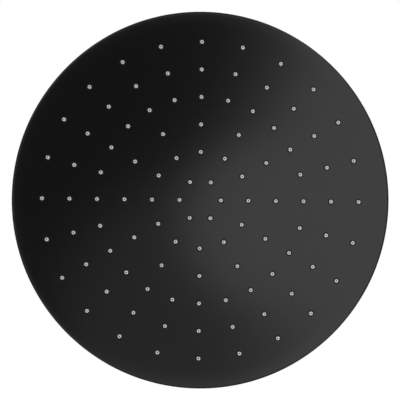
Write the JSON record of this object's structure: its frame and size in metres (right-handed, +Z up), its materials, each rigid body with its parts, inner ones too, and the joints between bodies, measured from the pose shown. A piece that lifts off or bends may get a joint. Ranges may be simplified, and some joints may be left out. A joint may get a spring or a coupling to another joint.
{
  "type": "rain shower head",
  "caption": "Round satin-black rain shower head with rings of grey silicone nozzles, on a ball joint with a captive hexagon union nut for the shower arm.",
  "frame": {"origin": "on the inlet's axis, where the end of the shower arm meets the washer", "axes": "+Z up along the inlet, out of the nut's mouth; the spray face looks along -Z; one row of nozzles lies along X"},
  "size_m": [0.25, 0.25, 0.0552],
  "materials": {
    "black_coat": "satin",
    "black_steel": "satin",
    "brass": "satin",
    "stainless": "satin",
    "grey_silicone": "matte",
    "black_rubber": "matte",
    "pale_plastic": "matte",
    "dark_plastic": "matte"
  },
  "bodies": {
    "coupling": {"coupling_nut": "black_coat"},
    "stem": {"ball_stem": "black_coat", "flow_regulator": "pale_plastic", "regulator_ring": "black_rubber", "inlet_washer": "black_rubber", "inlet_strainer": "stainless"},
    "seat": {"ball_seat": "dark_plastic"},
    "head": {"ball_seal": "black_rubber", "collar_nut": "black_coat", "swivel_hub": "brass", "lock_ring": "black_coat", "hub_washer": "dark_plastic", "hub_gasket": "black_rubber", "back_plate": "black_coat", "cover_screws": "black_steel", "rim_gasket": "black_rubber", "mat_retainer": "pale_plastic", "nozzle_mat": "grey_silicone", "face_plate": "black_coat"}
  },
  "joints": [
    {"name": "stem_swivel", "type": "hinge", "parent": "coupling", "child": "stem", "pos_m": [0, 0, -0.0045], "axis": [0, 0, 1], "continuous": true},
    {"name": "head_tilt", "type": "hinge", "parent": "stem", "child": "seat", "pos_m": [0, 0, -0.01922], "axis": [1, 0, 0], "range_deg": [-15, 15]},
    {"name": "head_turn", "type": "hinge", "parent": "seat", "child": "head", "pos_m": [0, 0, -0.01922], "axis": [0, 0, 1], "continuous": true}
  ]
}
